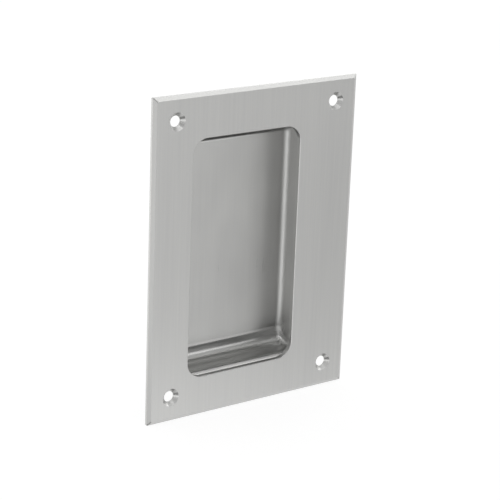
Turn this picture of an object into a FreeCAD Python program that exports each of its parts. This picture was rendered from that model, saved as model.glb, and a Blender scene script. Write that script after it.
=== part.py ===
# Recessed pull handle: a bevelled steel plate with a pressed finger pocket welded behind it
import FreeCAD, Part
import math
import os

# Frame: X to the right, Z up, -Y towards the hand. The origin is the centre of the plate's
# back face, which lies on the door. All sizes are in millimetres.

# Front plate, cut from rolled strip and bevelled on its four front edges
plate_width = 110.0
plate_height = 150.0
plate_thickness = 2.2
bevel_width = 1.7
bevel_depth = 1.0
plate_corner_radius = 0.5

# Countersunk screw holes, one in each corner of the plate
hole_spacing_x = 86.0
hole_spacing_z = 127.0
hole_diameter = 5.0
countersink_diameter = 8.4
countersink_angle = 90.0

# Opening in the plate, set towards one side of it
opening_width = 58.0
opening_height = 111.0
opening_centre_x = -5.2
opening_centre_z = -1.0
opening_corner_radius = 7.5
opening_edge_round = 0.3

# Pocket, deep drawn from sheet with a flange all round its mouth. Its ends rise in a wider
# curve than its sides, and on the right the plate reaches over it, so the fingers hook
# behind the edge.
sheet_thickness = 1.0
pocket_width = 63.2
pocket_height = 109.3
pocket_depth = 15.6
pocket_centre_x = -1.8
pocket_centre_z = -0.65
mouth_radius = 3.5
side_fold_radius = 3.0
end_fold_radius = 7.5
flange_width = 4.0

# Spot welds that hold the flange to the plate, pressed from behind
weld_diameter = 3.2
weld_tip_diameter = 2.4
weld_depth = 0.15
weld_pitch = 27.0

# Room left between the flange and the cut-out in the door
cutout_clearance = 1.5

# Direction into the door, and how near counts as touching
BACK = FreeCAD.Vector(0, 1, 0)
TOUCH = 0.001


def rounded_outline(width, height, radius, depth):
    """Closed wire of a rounded rectangle in the plane y = depth, centred on x = z = 0."""
    x = width / 2
    z = height / 2
    diagonal = radius * (1 - math.sqrt(0.5))
    edges = []
    for sx, sz, start, end in (
        (1, 1, (x - radius, z), (x, z - radius)),
        (1, -1, (x, radius - z), (x - radius, -z)),
        (-1, -1, (radius - x, -z), (-x, radius - z)),
        (-1, 1, (-x, z - radius), (radius - x, z)),
    ):
        first = FreeCAD.Vector(start[0], depth, start[1])
        middle = FreeCAD.Vector(sx * (x - diagonal), depth, sz * (z - diagonal))
        last = FreeCAD.Vector(end[0], depth, end[1])
        if edges:
            edges.append(Part.makeLine(corner_end, first))
        else:
            opening_point = first
        edges.append(Part.Arc(first, middle, last).toShape())
        corner_end = last
    edges.append(Part.makeLine(corner_end, opening_point))
    return Part.Wire(edges)


def rounded_slab(width, height, radius, low, high):
    """Flat solid with a rounded rectangular outline, from y = low to y = high."""
    face = Part.Face(rounded_outline(width, height, radius, low))
    return face.extrude(BACK * (high - low))


def pocket_outline(margin, depth):
    """Outline of the pocket's walls grown by a margin all round, in the plane y = depth."""
    width = pocket_width + 2 * margin
    height = pocket_height + 2 * margin
    return rounded_outline(width, height, side_fold_radius + margin, depth)


def pocket_slab(margin, low, high):
    """Slab with the pocket's outline grown by a margin, from y = low to y = high."""
    return Part.Face(pocket_outline(margin, low)).extrude(BACK * (high - low))


def at_pocket(shape):
    """Move a shape made round x = z = 0 to the centre of the pocket."""
    shape.translate(FreeCAD.Vector(pocket_centre_x, 0, pocket_centre_z))
    return shape


def rim_edges(shape, depth, width, height):
    """Edges in the plane y = depth that lie within a width and height round x = z = 0."""
    found = []
    for edge in shape.Edges:
        box = edge.BoundBox
        flat = abs(box.YMin - depth) < TOUCH and abs(box.YMax - depth) < TOUCH
        across = max(-box.XMin, box.XMax) < width / 2 + TOUCH
        along = max(-box.ZMin, box.ZMax) < height / 2 + TOUCH
        if flat and across and along:
            found.append(edge)
    return found


def pocket_rim(shape, depth, margin):
    """Edges in the plane y = depth that lie within the pocket's outline grown by a margin."""
    return rim_edges(shape, depth, pocket_width + 2 * margin, pocket_height + 2 * margin)


def bevelled_blank():
    """The plate before it is cut out: a straight edge, then a bevel up to the front face."""
    shoulder = bevel_depth - plate_thickness
    straight = rounded_slab(plate_width, plate_height, plate_corner_radius, shoulder, 0)
    foot = rounded_outline(plate_width, plate_height, plate_corner_radius, shoulder)
    top = rounded_outline(
        plate_width - 2 * bevel_width, plate_height - 2 * bevel_width, plate_corner_radius, -plate_thickness
    )
    return straight.fuse(Part.makeLoft([foot, top], True, True)).removeSplitter()


def screw_hole(x, z):
    """Through hole and its countersink, as one cutting solid."""
    front = FreeCAD.Vector(x, -plate_thickness, z)
    hole = Part.makeCylinder(hole_diameter / 2, plate_thickness, front, BACK)
    sink_depth = (countersink_diameter - hole_diameter) / 2 / math.tan(math.radians(countersink_angle / 2))
    sink = Part.makeCone(countersink_diameter / 2, hole_diameter / 2, sink_depth, front, BACK)
    return hole.fuse(sink)


def front_plate():
    """Plate with its opening and four screw holes.

    Its back carries the outline of the door's cut-out, so the seat outside it is one face.
    """
    offset = FreeCAD.Vector(opening_centre_x, 0, opening_centre_z)
    plate = bevelled_blank()
    plate.translate(offset * -1)
    plate = plate.cut(rounded_slab(opening_width, opening_height, opening_corner_radius, -plate_thickness, 0))
    edge = rim_edges(plate, -plate_thickness, opening_width, opening_height)
    plate = plate.makeFillet(opening_edge_round, edge)
    plate.translate(offset)
    cutout = at_pocket(Part.Face(pocket_outline(mouth_radius + flange_width + cutout_clearance, 0)))
    plate = plate.generalFuse([cutout])[0].Solids[0]
    for side in (-1, 1):
        for end in (-1, 1):
            plate = plate.cut(screw_hole(side * hole_spacing_x / 2, end * hole_spacing_z / 2))
    return plate


def pocket_form(offset):
    """Solid filling the pocket out to the given offset from the inside of its sheet.

    The end folds are rounded first, and the side folds then follow the curve they leave.
    """
    width = pocket_width + 2 * offset
    height = pocket_height + 2 * offset
    bottom = pocket_depth + offset
    form = Part.makeBox(width, bottom, height, FreeCAD.Vector(-width / 2, 0, -height / 2))
    ends = [edge for edge in rim_edges(form, bottom, width, height) if edge.BoundBox.XLength > TOUCH]
    form = form.makeFillet(end_fold_radius + offset, ends)
    sides = [edge for edge in form.Edges if edge.BoundBox.XLength < TOUCH and edge.BoundBox.YMax > TOUCH]
    return form.makeFillet(side_fold_radius + offset, sides)


def mouth_flare():
    """Cutting solid that opens the mouth out to its radius: a block less a rounded lip."""
    lip = pocket_slab(2 * mouth_radius, 0, 2 * mouth_radius)
    lip = lip.cut(pocket_slab(0, 0, 2 * mouth_radius))
    lip = lip.makeFillet(mouth_radius, pocket_rim(lip, 0, 0))
    return pocket_slab(mouth_radius, -mouth_radius, mouth_radius).cut(lip)


def weld_dimples():
    """Shallow round dimples along the middle of the flange, evenly spaced on each side."""
    width = pocket_width + 2 * mouth_radius + flange_width
    height = pocket_height + 2 * mouth_radius + flange_width
    columns = round(width / weld_pitch)
    rows = round(height / weld_pitch)
    spots = []
    for i in range(columns):
        x = width * ((i + 0.5) / columns - 0.5)
        spots += [(x, height / 2), (x, -height / 2)]
    for j in range(rows):
        z = height * ((j + 0.5) / rows - 0.5)
        spots += [(width / 2, z), (-width / 2, z)]
    dimples = []
    for x, z in spots:
        tip = FreeCAD.Vector(x, sheet_thickness - weld_depth, z)
        dimples.append(Part.makeCone(weld_tip_diameter / 2, weld_diameter / 2, weld_depth, tip, BACK))
    return Part.makeCompound(dimples)


def pocket_tray():
    """Deep-drawn pocket with its flange, the radius round its mouth and the weld dimples."""
    flange = pocket_slab(mouth_radius + flange_width, 0, sheet_thickness)
    tray = flange.fuse(pocket_form(sheet_thickness)).removeSplitter()
    root = pocket_rim(tray, sheet_thickness, sheet_thickness)
    tray = tray.makeFillet(mouth_radius - sheet_thickness, root)
    return at_pocket(tray.cut(pocket_form(0)).cut(mouth_flare()).cut(weld_dimples()))


os.makedirs("parts", exist_ok=True)
pieces = {"front_plate": front_plate(), "pocket_tray": pocket_tray()}
for name, shape in pieces.items():
    shape.exportStep("parts/" + name + ".step")
    print(name, shape.isValid(), len(shape.Solids), round(shape.Volume, 1), shape.BoundBox)
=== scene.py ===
import math

import bpy
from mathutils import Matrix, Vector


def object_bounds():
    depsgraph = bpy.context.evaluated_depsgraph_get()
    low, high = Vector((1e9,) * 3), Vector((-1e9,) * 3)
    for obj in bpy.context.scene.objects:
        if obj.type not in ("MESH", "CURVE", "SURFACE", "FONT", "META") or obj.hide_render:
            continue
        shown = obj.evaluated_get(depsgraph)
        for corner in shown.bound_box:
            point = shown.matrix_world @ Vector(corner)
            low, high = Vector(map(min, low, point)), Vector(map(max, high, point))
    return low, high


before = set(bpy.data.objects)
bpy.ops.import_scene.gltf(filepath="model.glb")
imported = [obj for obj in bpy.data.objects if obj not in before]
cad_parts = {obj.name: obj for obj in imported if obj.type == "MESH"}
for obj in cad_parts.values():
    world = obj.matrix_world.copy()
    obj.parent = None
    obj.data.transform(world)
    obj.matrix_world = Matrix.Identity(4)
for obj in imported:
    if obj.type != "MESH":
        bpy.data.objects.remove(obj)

cad_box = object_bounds()


# Camera. It stands left of the handle at arm's length with a long lens, turned down a little.
# Its place, turn and lens were fitted to the plate's corners in the photograph.
camera_place = (-0.45169, -0.61572, 0.24551)
camera_turn_degrees = (72.0744, -2.0642, -35.5682)
lens_mm = 127.7607
sensor_width_mm = 36.0
camera_data = bpy.data.cameras.new("camera")
camera_data.sensor_width = sensor_width_mm
camera_data.lens = lens_mm
camera = bpy.data.objects.new("camera", camera_data)
camera.location = camera_place
camera.rotation_euler = [math.radians(angle) for angle in camera_turn_degrees]
bpy.context.scene.collection.objects.link(camera)
bpy.context.scene.camera = camera


# Front plate. It is cut from 2.2 mm stainless steel, bevelled along its four front edges,
# brushed up and down with a 240 grit belt, and has four countersunk screw holes.
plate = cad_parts["front_plate"]
plate_steel = "#C6C6C4"
plate_steel_dark = "#BDBDBC"
plate_roughness = (0.285, 0.315)
plate_anisotropy = 0.8
plate_sheen_width_mm = 9.0
plate_sheen_length_mm = 120.0
plate_sheen_share = 0.4
plate_bump_mm = 0.0015

# 240 grit leaves scratches about 0.05 mm wide, too fine to show, so they are drawn wider
brushing_width_mm = 0.6
brushing_length_mm = 45.0
brushing_detail = 2.0
sheen_detail = 1.0

# The noise of the grain seldom leaves this range, so its ends give the two ends of a finish
grain_low = 0.2
grain_high = 0.8

# The scratches run upright, turned here by a hair: a face that looks straight up or down
# would otherwise have no direction across them
brushing_direction = (0.0, 0.0001, 1.0)


def linear_colour(code):
    """The linear colour of an sRGB hex code, with an alpha of 1."""
    values = [int(code[i:i + 2], 16) / 255 for i in (1, 3, 5)]
    return [v / 12.92 if v <= 0.04045 else ((v + 0.055) / 1.055) ** 2.4 for v in values] + [1.0]


def add_node(tree, kind, values=None, links=None, **settings):
    """Add a node to a tree, with its settings, the values of its sockets and its links."""
    node = tree.nodes.new(kind)
    for name, value in settings.items():
        setattr(node, name, value)
    for name, value in (values or {}).items():
        node.inputs[name].default_value = value
    for name, source in (links or {}).items():
        tree.links.new(source, node.inputs[name])
    return node


def upright_streaks(tree, place, width_mm, length_mm, detail):
    """Noise drawn out into upright streaks of that width and length."""
    scale = [1000 / width_mm, 1000 / width_mm, 1000 / length_mm]
    stretched = add_node(
        tree, "ShaderNodeVectorMath", {1: scale}, {0: place}, operation="MULTIPLY"
    ).outputs[0]
    return add_node(
        tree, "ShaderNodeTexNoise", {"Scale": 1.0, "Detail": detail}, {"Vector": stretched}
    ).outputs["Fac"]


def brushed_steel(name, colours, roughness, anisotropy, sheen, sheen_share, bump_mm):
    """Stainless steel brushed up and down, with its grain in its colour, roughness and bump."""
    material = bpy.data.materials.new(name)
    material.use_nodes = True
    tree = material.node_tree
    steel = tree.nodes["Principled BSDF"]
    steel.inputs["Metallic"].default_value = 1.0
    steel.inputs["Anisotropic"].default_value = anisotropy
    place = add_node(tree, "ShaderNodeTexCoord").outputs["Object"]
    grain = upright_streaks(tree, place, brushing_width_mm, brushing_length_mm, brushing_detail)
    # The belt's passes leave broad bands that are a little brighter or duller
    bands = upright_streaks(tree, place, sheen[0], sheen[1], sheen_detail)
    both = add_node(tree, "ShaderNodeMix", {"Factor": sheen_share}, {2: grain, 3: bands}).outputs[0]
    tone = add_node(
        tree, "ShaderNodeMapRange", {1: grain_low, 2: grain_high, 3: 0.0, 4: 1.0}, {0: both}
    ).outputs[0]
    colour = add_node(
        tree, "ShaderNodeMix", {6: linear_colour(colours[0]), 7: linear_colour(colours[1])},
        {"Factor": tone}, data_type="RGBA",
    ).outputs[2]
    rough = add_node(
        tree, "ShaderNodeMapRange",
        {1: grain_low, 2: grain_high, 3: roughness[0], 4: roughness[1]}, {0: both},
    ).outputs[0]
    bump = add_node(
        tree, "ShaderNodeBump", {"Strength": 1.0, "Distance": bump_mm / 1000}, {"Height": grain}
    ).outputs[0]
    # The tangent lies across the scratches, so a reflection spreads to their sides
    normal = add_node(tree, "ShaderNodeNewGeometry").outputs["Normal"]
    across = add_node(
        tree, "ShaderNodeVectorMath", {1: brushing_direction}, {0: normal}, operation="CROSS_PRODUCT"
    ).outputs[0]
    tangent = add_node(
        tree, "ShaderNodeVectorMath", links={0: across}, operation="NORMALIZE"
    ).outputs[0]
    for socket, source in (
        ("Base Color", colour), ("Roughness", rough), ("Normal", bump), ("Tangent", tangent),
    ):
        tree.links.new(source, steel.inputs[socket])
    return material


# Satin stainless steel, belt brushed: a soft grey sheen with fine upright lines
plate.material_slots[0].material = brushed_steel(
    "brushed_stainless_steel_plate", (plate_steel_dark, plate_steel),
    plate_roughness, plate_anisotropy,
    (plate_sheen_width_mm, plate_sheen_length_mm), plate_sheen_share, plate_bump_mm,
)


# Finger pocket. It is deep drawn from 1 mm stainless sheet with a rolled mouth and a narrow
# flange, which is spot welded to the back of the plate. It was brushed before it was pressed.
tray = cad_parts["pocket_tray"]
tray_steel = "#C3C3C1"
tray_steel_dark = "#B4B4B3"
tray_roughness = (0.27, 0.29)
tray_anisotropy = 1.0
tray_sheen_width_mm = 16.0
tray_sheen_length_mm = 34.0
tray_sheen_share = 0.7
tray_bump_mm = 0.0001

# Satin stainless sheet, brushed and then drawn: the same lines, smoother where it stretched
tray.material_slots[0].material = brushed_steel(
    "brushed_stainless_steel_pocket", (tray_steel_dark, tray_steel),
    tray_roughness, tray_anisotropy,
    (tray_sheen_width_mm, tray_sheen_length_mm), tray_sheen_share, tray_bump_mm,
)


# Floor. A white table top under the plate's lower edge. Most of its white is its own, and the
# rest is light that it reflects, which the handle's soft shadow dims.
floor_size = 6.0
floor_reflected = 0.3
floor_own_white = 0.82
half_floor = floor_size / 2
floor_height = cad_box[0].z


def background_rays(tree):
    """1 for rays that show the background as it is, and 0 for those that carry its light."""
    rays = add_node(tree, "ShaderNodeLightPath").outputs
    shown = rays["Is Camera Ray"]
    for kind in ("Is Glossy Ray", "Is Transmission Ray"):
        shown = add_node(
            tree, "ShaderNodeMath", links={0: shown, 1: rays[kind]}, operation="ADD", use_clamp=True
        ).outputs[0]
    return shown


floor_mesh = bpy.data.meshes.new("floor")
floor_corners = [
    (side * half_floor, end * half_floor, floor_height)
    for side, end in ((-1, -1), (1, -1), (1, 1), (-1, 1))
]
floor_mesh.from_pydata(floor_corners, [], [(0, 1, 2, 3)])
floor = bpy.data.objects.new("floor", floor_mesh)
bpy.context.scene.collection.objects.link(floor)
# The steel mirrors the studio's cards below the table's level, so the table doesn't hide them
floor.visible_glossy = False

# White paper: an even, matt white without a highlight
floor_paper = bpy.data.materials.new("white_paper_floor")
floor_paper.use_nodes = True
tree = floor_paper.node_tree
tree.nodes.clear()
strength = add_node(
    tree, "ShaderNodeMath", {1: floor_own_white}, {0: background_rays(tree)}, operation="MULTIPLY"
).outputs[0]
own_white = add_node(
    tree, "ShaderNodeEmission", {"Color": (1, 1, 1, 1)}, {"Strength": strength}
).outputs[0]
paper = add_node(
    tree, "ShaderNodeBsdfDiffuse", {"Color": [floor_reflected] * 3 + [1.0]}
).outputs[0]
total = add_node(tree, "ShaderNodeAddShader", links={0: own_white, 1: paper}).outputs[0]
add_node(tree, "ShaderNodeOutputMaterial", links={"Surface": total})
floor_mesh.materials.append(floor_paper)


# Studio. A white tent all round gives the plain level, and soft-edged cards stand inside it,
# some brighter and some darker than the tent, which brushed steel needs to show its shape.
tent_light = 0.7
card_distance = 2.0
card_step = 5.0
card_softness = 0.35

# Each card stands a little nearer than the one before it, and covers it where they cross
card_gap = 0.03

# Each card's left and right edge in azimuth, its lower and upper edge in elevation, both in
# degrees from the middle of the plate, and its level, where white is 1. A separate program
# fitted these numbers to the steel's tones in the photograph, and they were then rounded.
cards = (
    ("softbox_front_low", -28, 50, -36, -1, 1.46),
    ("softbox_left_low", -143, -48, -26, 1, 2.19),
    ("veil_front_low", 21, 57, -26, -9, 0.58),
    ("flag_right", -3, 69, -11, 38, 0.01),
    ("veil_left", -73, -31, -13, 18, 0.76),
    ("flag_under", -79, 86, -61, -29, 0.01),
    ("veil_left_low", -37, -11, -62, -6, 0.84),
    ("softbox_high", -110, 33, 43, 99, 1.95),
    ("flag_far_left", -123, -42, 11, 49, 0.33),
    ("softbox_right", 45, 156, 0, 41, 2.17),
    ("flag_overhead", -36, 115, 33, 68, 0.73),
    ("softbox_right_high", 16, 53, 34, 46, 1.93),
)

world = bpy.data.worlds.new("white_tent")
bpy.context.scene.world = world
world.use_nodes = True
tree = world.node_tree
tree.nodes.clear()
strength = add_node(
    tree, "ShaderNodeMapRange", {3: tent_light, 4: 1.0}, {0: background_rays(tree)}
).outputs[0]
tent = add_node(
    tree, "ShaderNodeBackground", {"Color": (1, 1, 1, 1)}, {"Strength": strength}
).outputs[0]
add_node(tree, "ShaderNodeOutputWorld", links={"Surface": tent})


def card_point(azimuth, elevation, distance):
    """A point at that azimuth and elevation, in degrees, from the middle of the plate."""
    turn = math.radians(azimuth)
    lift = math.radians(elevation)
    reach = distance * math.cos(lift)
    return (reach * math.sin(turn), -reach * math.cos(turn), distance * math.sin(lift))


def curved_card(name, left, right, low, high, distance):
    """Mesh of a card that curves round the plate, laid out flat in its UV map."""
    columns = math.ceil((right - left) / card_step)
    rows = math.ceil((high - low) / card_step)
    points = []
    flat_points = []
    for row in range(rows + 1):
        for column in range(columns + 1):
            u = column / columns
            v = row / rows
            points.append(card_point(left + (right - left) * u, low + (high - low) * v, distance))
            flat_points.append((u, v))
    faces = []
    for row in range(rows):
        for column in range(columns):
            corner = row * (columns + 1) + column
            faces.append((corner, corner + 1, corner + columns + 2, corner + columns + 1))
    mesh = bpy.data.meshes.new(name)
    mesh.from_pydata(points, [], faces)
    layer = mesh.uv_layers.new(name="card")
    for loop in mesh.loops:
        layer.data[loop.index].uv = flat_points[loop.vertex_index]
    return mesh


def soft_edged_glow(name, level):
    """Lit cloth that fades out towards the card's edges, so its reflection has no hard line."""
    material = bpy.data.materials.new(name)
    material.use_nodes = True
    tree = material.node_tree
    tree.nodes.clear()
    flat = add_node(tree, "ShaderNodeTexCoord").outputs["UV"]
    # From 0 to 1 across the card, to -1 to 1, and then to the distance from its middle
    signed = add_node(
        tree, "ShaderNodeVectorMath", {1: (2.0, 2.0, 0.0), 2: (-1.0, -1.0, 0.0)}, {0: flat},
        operation="MULTIPLY_ADD",
    ).outputs[0]
    from_middle = add_node(
        tree, "ShaderNodeVectorMath", links={0: signed}, operation="ABSOLUTE"
    ).outputs[0]
    sides = add_node(tree, "ShaderNodeSeparateXYZ", links={0: from_middle}).outputs
    edge_x, edge_y = [
        add_node(
            tree, "ShaderNodeMapRange", {1: 1.0 - card_softness, 2: 1.0, 3: 1.0, 4: 0.0},
            {0: sides[axis]}, interpolation_type="SMOOTHSTEP",
        ).outputs[0]
        for axis in (0, 1)
    ]
    cover = add_node(
        tree, "ShaderNodeMath", links={0: edge_x, 1: edge_y}, operation="MULTIPLY"
    ).outputs[0]
    clear = add_node(tree, "ShaderNodeBsdfTransparent").outputs[0]
    glow = add_node(
        tree, "ShaderNodeEmission", {"Color": (1, 1, 1, 1), "Strength": level}
    ).outputs[0]
    mixed = add_node(tree, "ShaderNodeMixShader", links={0: cover, 1: clear, 2: glow}).outputs[0]
    add_node(tree, "ShaderNodeOutputMaterial", links={"Surface": mixed})
    return material


for order, (name, left, right, low, high, level) in enumerate(cards):
    card_mesh = curved_card(name, left, right, low, high, card_distance - card_gap * order)
    card_mesh.materials.append(soft_edged_glow(name, level))
    card = bpy.data.objects.new(name, card_mesh)
    bpy.context.scene.collection.objects.link(card)
    # The steel mirrors the cards, and neither the camera nor the floor sees them
    card.visible_camera = False
    card.visible_diffuse = False
    card.visible_shadow = False

bpy.context.scene.view_settings.view_transform = "Standard"
